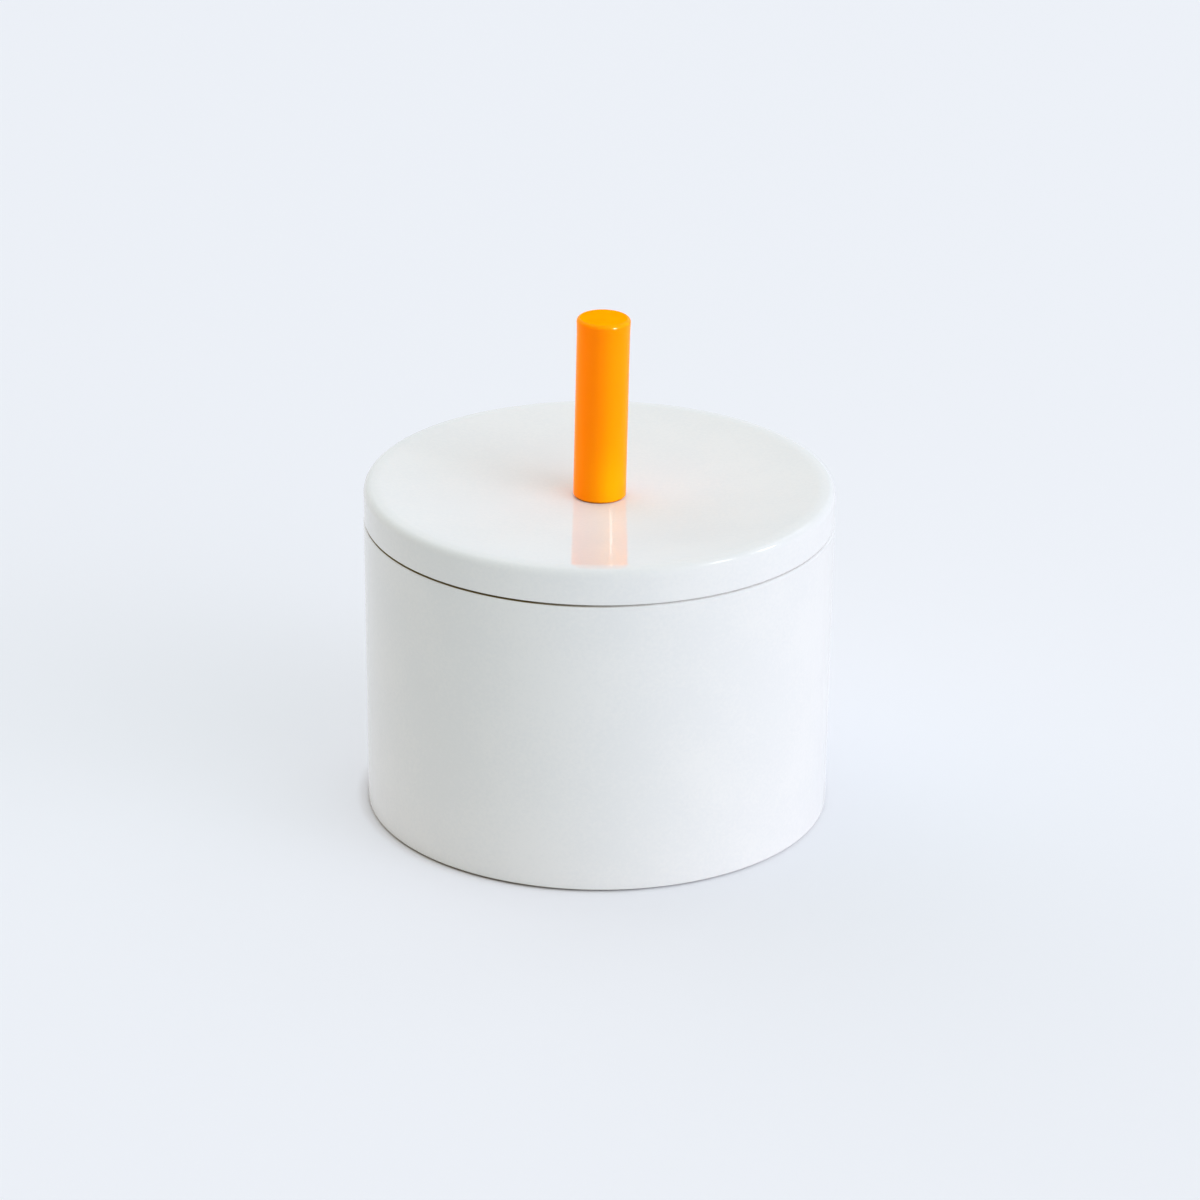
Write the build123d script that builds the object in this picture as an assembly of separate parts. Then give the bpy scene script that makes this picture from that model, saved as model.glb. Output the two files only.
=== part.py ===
"""Round porcelain box with a drop-in lid and an upright lacquered dowel as its knob.

Millimetres, +Z up. The origin is the middle of the foot, on the table, and -Y is the front.
A screw from under the lid holds the knob, through a soft washer on each side of the porcelain.
"""

import os
from math import radians, tan

from build123d import *

# Box: a wall that opens out a little from the foot to the rim, on a low foot ring. The foot and the rim fall
# back towards the outside, so a thin shadow gap shows above the table and under the lid
RIM_DIAMETER = 107.0
BOX_HEIGHT = 69.3
WALL_DRAFT = 0.5
WALL_THICKNESS = 4.0
FLOOR_THICKNESS = 5.0
FOOT_RING_WIDTH = 5.0
FOOT_RECESS_DEPTH = 1.2
FOOT_RELIEF = 0.45
FOOT_RELIEF_WIDTH = 2.0
FOOT_OUTER_ROUND = 0.2
FOOT_INNER_ROUND = 0.5
FOOT_RECESS_ROUND = 0.6
INSIDE_CORNER_ROUND = 6.0
RIM_RELIEF = 0.5
RIM_RELIEF_WIDTH = 2.0
RIM_OUTER_ROUND = 0.65
RIM_INNER_ROUND = 0.8

# Lid: a disc that lies on the rim, dished on top up to a soft crest near its edge, with a locating ring that
# drops into the box
LID_SETBACK = 0.1
LID_CREST_HEIGHT = 8.12
LID_CREST_WIDTH = 3.0
LID_CREST_FALL = 0.42
LID_CREST_ROUND = 8.0
LID_CENTRE_THICKNESS = 4.75
LID_TOP_ROUND = 1.9
LID_LOWER_ROUND = 0.2
RING_CLEARANCE = 0.8
RING_WIDTH = 4.0
RING_HEIGHT = 6.5
RING_EDGE_ROUND = 1.0
RING_INNER_ROOT_ROUND = 1.5
RING_OUTER_ROOT_ROUND = 0.5
LID_HOLE_CLEARANCE = 0.75
LID_HOLE_EDGE_ROUND = 0.3
KNOB_LAND_MARGIN = 0.8

# Knob: a dowel dipped in lacquer, which has gathered in a faint bead round its top; it leans towards +X
KNOB_DIAMETER = 12.0
KNOB_LENGTH = 42.33
KNOB_TOP_ROUND = 1.0
KNOB_FOOT_ROUND = 0.3
KNOB_LEAN_DEGREES = 0.85
LACQUER_BEAD = 0.15
LACQUER_BEAD_LENGTH = 5.0

# Threaded insert, glued into the knob's foot, with grooves round it that key the glue
INSERT_WALL = 0.95
INSERT_LENGTH = 9.0
INSERT_SINK = 0.4
INSERT_GLUE_GAP = 0.05
INSERT_BORE_ROOM = 1.5
INSERT_GROOVES = 3
INSERT_GROOVE_WIDTH = 0.9
INSERT_GROOVE_DEPTH = 0.35
THREAD_CLEARANCE = 0.05

# Screw, up through the lid into the insert
SCREW_DIAMETER = 4.0
SCREW_TIP_SHORT = 1.0
SCREW_TIP_CHAMFER = 0.5
SCREW_HEAD_OVERHANG = 2.0
SCREW_HEAD_HEIGHT = 3.1
SCREW_HEAD_ROUND = 1.8
CROSS_SPAN = 4.0
CROSS_FLOOR_SPAN = 1.6
CROSS_BLADE = 0.9
CROSS_DEPTH = 2.0
CROSS_TURN = 45

# Washers: fibre under the knob, rubber against the lid's underside, steel under the screw's head
SEAT_WASHER_THICKNESS = 0.22
SEAT_WASHER_INSET = 0.3
SEAT_WASHER_CLEARANCE = 0.4
CUSHION_THICKNESS = 1.5
CUSHION_WIDTH = 4.5
CUSHION_CLEARANCE = 0.5
CUSHION_BULGE = 0.25
STEEL_WASHER_THICKNESS = 1.0
STEEL_WASHER_WIDTH = 3.85
STEEL_WASHER_CLEARANCE = 0.15
STEEL_WASHER_EDGE_ROUND = 0.2

# Box, derived
RIM_RADIUS = RIM_DIAMETER / 2
FOOT_RADIUS = RIM_RADIUS - WALL_DRAFT
FLOOR_TOP = FOOT_RECESS_DEPTH + FLOOR_THICKNESS
WALL_SLOPE = WALL_DRAFT / BOX_HEIGHT


def outside_radius(height):
    """Radius of the wall's outer face at a height above the table."""
    return FOOT_RADIUS + WALL_SLOPE * height


def inside_radius(height):
    """Radius of the wall's inner face at a height above the table."""
    return outside_radius(height) - WALL_THICKNESS


# Lid, derived: the ring clears the narrower end of the stretch of wall that it drops into
LID_RADIUS = RIM_RADIUS - LID_SETBACK
LID_CREST = BOX_HEIGHT + LID_CREST_HEIGHT
LAND_TOP = BOX_HEIGHT + LID_CENTRE_THICKNESS
LAND_RADIUS = KNOB_DIAMETER / 2 + KNOB_LAND_MARGIN
RING_BOTTOM = BOX_HEIGHT - RING_HEIGHT
RING_RADIUS = min(inside_radius(BOX_HEIGHT), inside_radius(RING_BOTTOM)) - RING_CLEARANCE
LID_HOLE_RADIUS = SCREW_DIAMETER / 2 + LID_HOLE_CLEARANCE

# Knob and its fastening, derived: heights along the leaning axis, counted from the lid's land
KNOB_RADIUS = KNOB_DIAMETER / 2
KNOB_FOOT = SEAT_WASHER_THICKNESS
KNOB_TOP = KNOB_FOOT + KNOB_LENGTH
INSERT_FOOT = KNOB_FOOT + INSERT_SINK
INSERT_TOP = INSERT_FOOT + INSERT_LENGTH
INSERT_BORE_RADIUS = SCREW_DIAMETER / 2 + THREAD_CLEARANCE
INSERT_RADIUS = INSERT_BORE_RADIUS + INSERT_WALL
KNOB_BORE_RADIUS = INSERT_RADIUS + INSERT_GLUE_GAP
KNOB_BORE_TOP = INSERT_TOP + INSERT_BORE_ROOM
CUSHION_FOOT = -LID_CENTRE_THICKNESS - CUSHION_THICKNESS
SCREW_SEAT = CUSHION_FOOT - STEEL_WASHER_THICKNESS
SCREW_TIP = INSERT_TOP - SCREW_TIP_SHORT
SCREW_RADIUS = SCREW_DIAMETER / 2
SCREW_HEAD_RADIUS = SCREW_RADIUS + SCREW_HEAD_OVERHANG
KNOB_AXIS = Location((0, 0, LAND_TOP), (0, KNOB_LEAN_DEGREES, 0))
LEAN_SLOPE = tan(radians(KNOB_LEAN_DEGREES))


def turned(edges, rounds=()):
    """Solid of revolution about Z of a closed outline in (radius, height), with some corners rounded."""
    outline = make_face(edges)
    for corner, radius in rounds:
        outline = fillet(outline.vertices().sort_by_distance(Vector(*corner, 0))[0], radius)
    return revolve(Plane.XZ * outline, axis=Axis.Z)


def leaning_plane(height):
    """Plane square to the knob's axis, at a height along it."""
    return Plane(KNOB_AXIS * Location((0, 0, height)))


def make_box_body():
    """Wall, floor and foot ring in one fired piece."""
    recess_edge = (FOOT_RADIUS - FOOT_RING_WIDTH, 0)
    recess_corner = (FOOT_RADIUS - FOOT_RING_WIDTH, FOOT_RECESS_DEPTH)
    foot_edge = (outside_radius(FOOT_RELIEF), FOOT_RELIEF)
    rim_edge = BOX_HEIGHT - RIM_RELIEF
    rim_outer = (outside_radius(rim_edge), rim_edge)
    rim_inner = (inside_radius(BOX_HEIGHT), BOX_HEIGHT)
    inside_corner = (inside_radius(FLOOR_TOP), FLOOR_TOP)
    outline = Polyline(
        (0, FOOT_RECESS_DEPTH),
        recess_corner,
        recess_edge,
        (FOOT_RADIUS - FOOT_RELIEF_WIDTH, 0),
        foot_edge,
        rim_outer,
        (RIM_RADIUS - RIM_RELIEF_WIDTH, BOX_HEIGHT),
        rim_inner,
        inside_corner,
        (0, FLOOR_TOP),
        close=True,
    )
    rounds = [
        (recess_corner, FOOT_RECESS_ROUND),
        (recess_edge, FOOT_INNER_ROUND),
        (foot_edge, FOOT_OUTER_ROUND),
        (rim_outer, RIM_OUTER_ROUND),
        (rim_inner, RIM_INNER_ROUND),
        (inside_corner, INSIDE_CORNER_ROUND),
    ]
    return turned(outline, rounds)


def make_lid():
    """Disc with its dished top, flat land for the knob, screw hole and locating ring."""
    hole_top = (LID_HOLE_RADIUS, LAND_TOP)
    hole_bottom = (LID_HOLE_RADIUS, BOX_HEIGHT)
    ring_inner_root = (RING_RADIUS - RING_WIDTH, BOX_HEIGHT)
    ring_inner_edge = (RING_RADIUS - RING_WIDTH, RING_BOTTOM)
    ring_outer_edge = (RING_RADIUS, RING_BOTTOM)
    ring_outer_root = (RING_RADIUS, BOX_HEIGHT)
    lower_edge = (LID_RADIUS, BOX_HEIGHT)
    top_edge = (LID_RADIUS, LID_CREST - LID_CREST_FALL)
    crest = (LID_RADIUS - LID_CREST_WIDTH, LID_CREST)
    land_edge = (LAND_RADIUS, LAND_TOP)
    straight = Polyline(
        land_edge,
        hole_top,
        hole_bottom,
        ring_inner_root,
        ring_inner_edge,
        ring_outer_edge,
        ring_outer_root,
        lower_edge,
        top_edge,
        crest,
    )
    dish = TangentArc(land_edge, crest, tangent=(1, 0))
    rounds = [
        (hole_top, LID_HOLE_EDGE_ROUND),
        (hole_bottom, LID_HOLE_EDGE_ROUND),
        (ring_inner_root, RING_INNER_ROOT_ROUND),
        (ring_inner_edge, RING_EDGE_ROUND),
        (ring_outer_edge, RING_EDGE_ROUND),
        (ring_outer_root, RING_OUTER_ROOT_ROUND),
        (lower_edge, LID_LOWER_ROUND),
        (top_edge, LID_TOP_ROUND),
        (crest, LID_CREST_ROUND),
    ]
    return turned(straight + dish, rounds)


def make_knob():
    """Dowel with the lacquer bead at its top and the insert's bore in its foot."""
    foot_edge = (KNOB_RADIUS, KNOB_FOOT)
    bead_start = (KNOB_RADIUS, KNOB_TOP - LACQUER_BEAD_LENGTH)
    top_edge = (KNOB_RADIUS + LACQUER_BEAD, KNOB_TOP)
    straight = Polyline(
        top_edge,
        (0, KNOB_TOP),
        (0, KNOB_BORE_TOP),
        (KNOB_BORE_RADIUS, KNOB_BORE_TOP),
        (KNOB_BORE_RADIUS, KNOB_FOOT),
        foot_edge,
        bead_start,
    )
    bead = TangentArc(bead_start, top_edge, tangent=(0, 1))
    rounds = [(foot_edge, KNOB_FOOT_ROUND), (top_edge, KNOB_TOP_ROUND)]
    return KNOB_AXIS * turned(straight + bead, rounds)


def make_threaded_insert():
    """Brass sleeve with glue grooves; its thread is a plain bore."""
    points = [(INSERT_BORE_RADIUS, INSERT_FOOT), (INSERT_RADIUS, INSERT_FOOT)]
    pitch = INSERT_LENGTH / (INSERT_GROOVES + 1)
    for groove in range(1, INSERT_GROOVES + 1):
        low = INSERT_FOOT + groove * pitch - INSERT_GROOVE_WIDTH / 2
        high = low + INSERT_GROOVE_WIDTH
        deep = INSERT_RADIUS - INSERT_GROOVE_DEPTH
        points += [(INSERT_RADIUS, low), (deep, low), (deep, high), (INSERT_RADIUS, high)]
    points += [(INSERT_RADIUS, INSERT_TOP), (INSERT_BORE_RADIUS, INSERT_TOP)]
    return KNOB_AXIS * turned(Polyline(*points, close=True))


def make_knob_screw():
    """Pan-head screw with a cross recess; its thread is a plain shank."""
    head_bottom = SCREW_SEAT - SCREW_HEAD_HEIGHT
    head_edge = (SCREW_HEAD_RADIUS, head_bottom)
    outline = Polyline(
        (0, head_bottom),
        head_edge,
        (SCREW_HEAD_RADIUS, SCREW_SEAT),
        (SCREW_RADIUS, SCREW_SEAT),
        (SCREW_RADIUS, SCREW_TIP - SCREW_TIP_CHAMFER),
        (SCREW_RADIUS - SCREW_TIP_CHAMFER, SCREW_TIP),
        (0, SCREW_TIP),
        close=True,
    )
    screw = turned(outline, [(head_edge, SCREW_HEAD_ROUND)])
    recess_floor = head_bottom + CROSS_DEPTH
    cone = Polyline(
        (0, head_bottom),
        (CROSS_SPAN / 2, head_bottom),
        (CROSS_FLOOR_SPAN / 2, recess_floor),
        (0, recess_floor),
        close=True,
    )
    cross = Rectangle(CROSS_SPAN, CROSS_BLADE) + Rectangle(CROSS_BLADE, CROSS_SPAN)
    wings = extrude(Plane((0, 0, head_bottom)) * cross, amount=CROSS_DEPTH)
    return KNOB_AXIS * (screw - Rot(0, 0, CROSS_TURN) * (wings & turned(cone)))


def make_seat_washer():
    """Fibre washer on the lid's land, pressed to a faint wedge by the leaning knob."""
    bore = SCREW_RADIUS + SEAT_WASHER_CLEARANCE
    edge = KNOB_RADIUS - SEAT_WASHER_INSET
    blank_top = LAND_TOP + SEAT_WASHER_THICKNESS + KNOB_RADIUS * LEAN_SLOPE
    outline = Polyline((bore, LAND_TOP), (edge, LAND_TOP), (edge, blank_top), (bore, blank_top), close=True)
    return split(turned(outline), bisect_by=leaning_plane(KNOB_FOOT), keep=Keep.BOTTOM)


def make_cushion_washer():
    """Rubber washer under the lid, bulged by the clamping and pressed to a faint wedge."""
    bore = SCREW_RADIUS + CUSHION_CLEARANCE
    edge = bore + CUSHION_WIDTH
    blank_foot = BOX_HEIGHT - CUSHION_THICKNESS - edge * LEAN_SLOPE
    straight = Polyline((edge, BOX_HEIGHT), (bore, BOX_HEIGHT), (bore, blank_foot), (edge, blank_foot))
    middle = (edge + CUSHION_BULGE, (BOX_HEIGHT + blank_foot) / 2)
    bulge = ThreePointArc((edge, blank_foot), middle, (edge, BOX_HEIGHT))
    return split(turned(straight + bulge), bisect_by=leaning_plane(CUSHION_FOOT), keep=Keep.TOP)


def make_steel_washer():
    """Flat steel washer, square to the screw."""
    bore = SCREW_RADIUS + STEEL_WASHER_CLEARANCE
    edge = bore + STEEL_WASHER_WIDTH
    lower_edge = (edge, SCREW_SEAT)
    outline = Polyline(
        (bore, SCREW_SEAT),
        lower_edge,
        (edge, CUSHION_FOOT),
        (bore, CUSHION_FOOT),
        close=True,
    )
    return KNOB_AXIS * turned(outline, [(lower_edge, STEEL_WASHER_EDGE_ROUND)])


PIECES = {
    "box_body": make_box_body,
    "lid": make_lid,
    "knob": make_knob,
    "seat_washer": make_seat_washer,
    "threaded_insert": make_threaded_insert,
    "knob_screw": make_knob_screw,
    "steel_washer": make_steel_washer,
    "cushion_washer": make_cushion_washer,
}

os.makedirs("parts", exist_ok=True)
for name, make in PIECES.items():
    export_step(make(), f"parts/{name}.step")
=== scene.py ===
"""Looks of a round porcelain box with a lacquered dowel as its knob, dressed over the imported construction.

Metres, +Z up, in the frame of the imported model: the origin is the middle of the foot, on the table, and the
photograph was taken from the -Y side. The porcelain and the knob are turned here as fine meshes; the
washers, the insert and the screw keep their construction solids and get finishes.
"""

import logging
import math
from dataclasses import dataclass, field
from enum import Enum

import bmesh
import bpy
from mathutils import Matrix, Vector


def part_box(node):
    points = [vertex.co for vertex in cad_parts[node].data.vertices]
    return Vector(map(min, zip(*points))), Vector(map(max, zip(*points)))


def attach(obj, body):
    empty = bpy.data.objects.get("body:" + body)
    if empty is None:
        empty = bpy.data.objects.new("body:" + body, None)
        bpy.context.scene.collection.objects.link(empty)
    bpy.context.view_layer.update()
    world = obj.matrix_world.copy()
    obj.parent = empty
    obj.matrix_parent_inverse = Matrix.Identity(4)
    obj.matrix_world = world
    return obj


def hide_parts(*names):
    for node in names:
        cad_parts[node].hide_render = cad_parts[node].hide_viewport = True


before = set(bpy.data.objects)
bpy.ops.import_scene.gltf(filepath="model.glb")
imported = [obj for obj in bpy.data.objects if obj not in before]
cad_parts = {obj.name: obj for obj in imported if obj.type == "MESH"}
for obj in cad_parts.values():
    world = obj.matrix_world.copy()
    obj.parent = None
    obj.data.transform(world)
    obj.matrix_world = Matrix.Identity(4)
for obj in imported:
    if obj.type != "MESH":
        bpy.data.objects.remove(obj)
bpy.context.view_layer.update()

LOG = logging.getLogger("porcelain_box")
MM = 0.001
PHOTO_PIXELS = 1200
SENSOR_WIDTH = 36.0
# Noise keeps mostly within these values, so spreading them gives the full contrast.
NOISE_RANGE = (0.3, 0.7)
CLOUD_RANGE = (0.35, 0.65)
EVEN_SCALE = Vector((1, 1, 1))
# A point nearer to the axis than this is one vertex and not a ring.
ON_AXIS = 1e-7

Colour = tuple[float, float, float]
Socket = bpy.types.NodeSocket


class Body(Enum):
    """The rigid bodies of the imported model."""

    BOX = "box"
    LID = "lid_with_knob"


class Slot(Enum):
    """The record's material slots named for the turned pieces; nothing here gives them to the pieces."""

    PORCELAIN = "porcelain"
    LACQUER = "orange_lacquer"


class Reach(Enum):
    """Which light of a lamp counts: all of it, only what lights a surface, or only its mirror image."""

    FULL = "full"
    SHADE = "shade"
    SHINE = "shine"


class Cover(Enum):
    """How far a stretch of porcelain is glazed, as the value of the mesh's glaze attribute."""

    BARE = 0.0
    GLAZED = 1.0


class Detail(Enum):
    """How fine a noise is, as its number of octaves."""

    SMOOTH = 1.0
    PLAIN = 2.0
    FINE = 3.0


def opaque(colour: Colour) -> tuple[float, float, float, float]:
    """The colour with a full alpha."""
    return (*colour, 1.0)


class Shader:
    """A node tree with short calls for the nodes that the finishes share."""

    def __init__(self, tree: bpy.types.NodeTree) -> None:
        """Empties the tree.

        Args:
            tree: the node tree of a material or of the world.
        """
        self.tree = tree
        self.tree.nodes.clear()

    def node(self, kind: str, **inputs: object) -> bpy.types.Node:
        """Adds a node and sets or links its inputs.

        Args:
            kind: the node's type name, without "ShaderNode".
            inputs: values or sockets by input name, with _ for a space.

        Returns:
            The new node.
        """
        made = self.tree.nodes.new("ShaderNode" + kind)
        for name, value in inputs.items():
            self.feed(made.inputs[name.replace("_", " ")], value)
        return made

    def feed(self, target: Socket, value: object) -> None:
        """Links a socket into an input, or sets a constant on it.

        Args:
            target: the input.
            value: the socket or the constant.
        """
        if isinstance(value, bpy.types.NodeSocket):
            self.tree.links.new(value, target)
        else:
            target.default_value = value

    def place(self, stretch: Vector) -> Socket:
        """Object coordinates in metres, times a factor for each axis.

        Args:
            stretch: factor for each axis.

        Returns:
            The vector socket.
        """
        where = self.node("TexCoord").outputs["Object"]
        scaled = self.node("VectorMath")
        scaled.operation = "MULTIPLY"
        self.feed(scaled.inputs[0], where)
        self.feed(scaled.inputs[1], stretch)
        return scaled.outputs["Vector"]

    def noise(self, pitch: float, detail: Detail = Detail.PLAIN, stretch: Vector = EVEN_SCALE) -> Socket:
        """Noise with features of about a given size.

        Args:
            pitch: size of a feature in metres.
            detail: how fine the noise is.
            stretch: factor for each axis; below 1 draws the features out along it.

        Returns:
            The noise value, from 0 to 1.
        """
        where = self.place(stretch / pitch)
        made = self.node("TexNoise", Vector=where, Scale=1.0, Detail=detail.value)
        return made.outputs["Fac"]

    def attribute(self, name: str) -> Socket:
        """The value of a mesh attribute.

        Args:
            name: the attribute's name.

        Returns:
            The value.
        """
        made = self.node("Attribute")
        made.attribute_name = name
        return made.outputs["Fac"]

    def upward(self) -> Socket:
        """How far the surface faces up along the piece's own axis, 1 for level and 0 for upright.

        Returns:
            The share.
        """
        normal = self.node("TexCoord").outputs["Normal"]
        return self.node("SeparateXYZ", Vector=normal).outputs["Z"]

    def spread(
        self, value: Socket, low: float, high: float, to_low: float = 0.0, to_high: float = 1.0
    ) -> Socket:
        """Maps a range of values to another one, clamped.

        Args:
            value: what is mapped.
            low: value that gives to_low.
            high: value that gives to_high.
            to_low: result at low.
            to_high: result at high.

        Returns:
            The mapped value.
        """
        made = self.node("MapRange", Value=value, From_Min=low, From_Max=high)
        self.feed(made.inputs["To Min"], to_low)
        self.feed(made.inputs["To Max"], to_high)
        return made.outputs["Result"]

    def sum(self, operation: str, first: object, second: object) -> Socket:
        """One step of arithmetic.

        Args:
            operation: a Math node's operation.
            first: value or socket.
            second: value or socket.

        Returns:
            The result.
        """
        made = self.node("Math")
        made.operation = operation
        self.feed(made.inputs[0], first)
        self.feed(made.inputs[1], second)
        return made.outputs["Value"]

    def blend(self, share: object, first: object, second: object) -> Socket:
        """Mixes two colours.

        Args:
            share: 0 for the first, 1 for the second.
            first: colour or socket.
            second: colour or socket.

        Returns:
            The mixed colour.
        """
        made = self.node("Mix")
        made.data_type = "RGBA"
        self.feed(made.inputs["Factor"], share)
        for socket, value in zip([s for s in made.inputs if s.type == "RGBA"], (first, second)):
            self.feed(socket, value if isinstance(value, bpy.types.NodeSocket) else opaque(value))
        return next(s for s in made.outputs if s.type == "RGBA")

    def seen(self) -> Socket:
        """1 for a ray that shows the surface, straight, mirrored or through glass, and 0 for the rest.

        Returns:
            The share of what is seen.
        """
        path = self.node("LightPath").outputs
        mirrored = self.sum("MAXIMUM", path["Is Glossy Ray"], path["Is Transmission Ray"])
        return self.sum("MAXIMUM", path["Is Camera Ray"], mirrored)

    def bump(self, height: Socket, depth: float, below: Socket | None = None) -> Socket:
        """Relief of a given depth.

        Args:
            height: relief from 0 to 1.
            depth: how deep the relief is, in metres.
            below: normal of a relief that this one lies on.

        Returns:
            The normal.
        """
        made = self.node("Bump", Strength=1.0, Distance=depth, Height=height)
        if below is not None:
            self.feed(made.inputs["Normal"], below)
        return made.outputs["Normal"]


class Finish:
    """A surface: its material is made once and shared by the pieces that have it."""

    name: str

    def shade(self, shader: Shader, surface: bpy.types.Node) -> None:
        """Wires the nodes that feed the surface.

        Args:
            shader: the material's node tree.
            surface: its Principled node.
        """
        raise NotImplementedError

    def material(self) -> bpy.types.Material:
        """The finish's material, made at its first use.

        Returns:
            The material.
        """
        name = f"{self.name}_finish"
        known = bpy.data.materials.get(name)
        if known is not None:
            return known
        made = bpy.data.materials.new(name)
        made.use_nodes = True
        shader = Shader(made.node_tree)
        surface = shader.node("BsdfPrincipled")
        self.shade(shader, surface)
        shader.node("OutputMaterial", Surface=surface.outputs["BSDF"])
        return made

    def dress(self, piece: bpy.types.Object) -> None:
        """Gives the finish to a piece as its only material."""
        piece.data.materials.clear()
        piece.data.materials.append(self.material())


@dataclass(frozen=True)
class GlazedPorcelain(Finish):
    """Clear glossy glaze over white porcelain, with bare porcelain where the pieces touch and stand."""

    name: str = "glazed_porcelain"
    thin: Colour = (0.865, 0.872, 0.862)
    thick: Colour = (0.835, 0.848, 0.845)
    pooled: Colour = (0.74, 0.79, 0.785)
    bare: Colour = (0.88, 0.875, 0.86)
    bare_shade: Colour = (0.81, 0.80, 0.78)
    # Painted shade: a brown colour that darkens the bare edges at the seam and the foot towards -X, where
    # they lie in shadow; it fades out towards +X.
    painted_shade_colour: Colour = (0.21, 0.145, 0.04)
    painted_shade_from: float = 12 * MM
    painted_shade_full: float = -16 * MM
    painted_shade_pitch: float = 5 * MM
    painted_shade_ragged: float = 8 * MM
    glaze_roughness: float = 0.045
    glaze_dulling: float = 1.6
    bare_roughness: float = 0.62
    ior: float = 1.5
    cloud_pitch: float = 22 * MM
    mottle_pitch: float = 0.8 * MM
    mottle_share: float = 0.5
    ripple_pitch: float = 9 * MM
    ripple_depth: float = 0.012 * MM
    smear_pitch: float = 14 * MM
    grain_pitch: float = 0.25 * MM
    grain_depth: float = 0.03 * MM
    grain_range: tuple[float, float] = (0.4, 0.7)

    def shade(self, shader: Shader, surface: bpy.types.Node) -> None:
        """Wires glaze and bare porcelain by the mesh's glaze and pool attributes, with a brown painted shade
        on the bare edges by its third attribute.

        Args:
            shader: the material's node tree.
            surface: its Principled node.
        """
        glazed = shader.attribute("glaze")
        clouds = shader.spread(shader.noise(self.cloud_pitch, Detail.FINE), *CLOUD_RANGE)
        speckle = shader.noise(self.mottle_pitch)
        mottle = shader.spread(speckle, *NOISE_RANGE, -self.mottle_share, self.mottle_share)
        glaze = shader.blend(shader.sum("ADD", clouds, mottle), self.thin, self.thick)
        glaze = shader.blend(shader.attribute("pool"), glaze, self.pooled)
        grain = shader.noise(self.grain_pitch)
        bare = shader.blend(shader.spread(grain, *self.grain_range), self.bare, self.bare_shade)
        # Painted shade: the bare edges turn brown towards -X.
        bare = shader.blend(self.painted_shade_share(shader), bare, self.painted_shade_colour)
        shader.feed(surface.inputs["Base Color"], shader.blend(glazed, bare, glaze))
        smear = shader.noise(self.smear_pitch)
        dull = self.glaze_roughness * self.glaze_dulling
        gloss = shader.spread(smear, *NOISE_RANGE, self.glaze_roughness, dull)
        roughness = shader.node("Mix", Factor=glazed, A=self.bare_roughness, B=gloss).outputs["Result"]
        shader.feed(surface.inputs["Roughness"], roughness)
        surface.inputs["IOR"].default_value = self.ior
        ripple = shader.bump(shader.noise(self.ripple_pitch, Detail.SMOOTH), self.ripple_depth)
        relief = shader.sum("MULTIPLY", grain, shader.sum("SUBTRACT", 1.0, glazed))
        shader.feed(surface.inputs["Normal"], shader.bump(relief, self.grain_depth, ripple))

    def painted_shade_share(self, shader: Shader) -> Socket:
        """How far the bare edges are darkened by a brown painted shade, which lies on the -X side only, where
        the seam and the foot are in shadow.

        Args:
            shader: the material's node tree.

        Returns:
            The share of the painted shade, from 0 to 1.
        """
        across = shader.node("SeparateXYZ", Vector=shader.place(EVEN_SCALE)).outputs["X"]
        edge = shader.noise(self.painted_shade_pitch)
        ragged = shader.spread(edge, 0.0, 1.0, -self.painted_shade_ragged, self.painted_shade_ragged)
        side = shader.spread(shader.sum("ADD", across, ragged), self.painted_shade_from, self.painted_shade_full)
        return shader.sum("MULTIPLY", side, shader.attribute("painted_shade"))


@dataclass(frozen=True)
class OrangeLacquer(Finish):
    """Dipped lacquer on a dowel: its grain just shows as relief, and its end grain soaks up the gloss."""

    name: str = "orange_lacquer"
    deep: Colour = (0.97, 0.222, 0.0005)
    light: Colour = (1.0, 0.246, 0.0005)
    roughness: float = 0.08
    dulling: float = 1.4
    specular: float = 0.04
    dull_from: float = 0.93
    dull_full: float = 0.99
    grain_pitch: float = 0.7 * MM
    grain_stretch: float = 0.04
    grain_depth: float = 0.006 * MM
    streak_pitch: float = 4.2 * MM
    peel_pitch: float = 1.6 * MM
    peel_depth: float = 0.008 * MM

    def shade(self, shader: Shader, surface: bpy.types.Node) -> None:
        """Wires the lacquer's colour, gloss and relief.

        Args:
            shader: the material's node tree.
            surface: its Principled node.
        """
        along = Vector((1, 1, self.grain_stretch))
        grain = shader.noise(self.grain_pitch, Detail.FINE, along)
        peel = shader.noise(self.peel_pitch, Detail.SMOOTH)
        streak = shader.noise(self.streak_pitch, stretch=along)
        colour = shader.blend(shader.spread(streak, *NOISE_RANGE), self.deep, self.light)
        shader.feed(surface.inputs["Base Color"], colour)
        gloss = shader.spread(peel, *NOISE_RANGE, self.roughness, self.roughness * self.dulling)
        shader.feed(surface.inputs["Roughness"], gloss)
        specular = shader.spread(shader.upward(), self.dull_from, self.dull_full, self.specular, 0.0)
        shader.feed(surface.inputs["Specular IOR Level"], specular)
        under = shader.bump(grain, self.grain_depth)
        shader.feed(surface.inputs["Normal"], shader.bump(peel, self.peel_depth, under))


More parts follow.
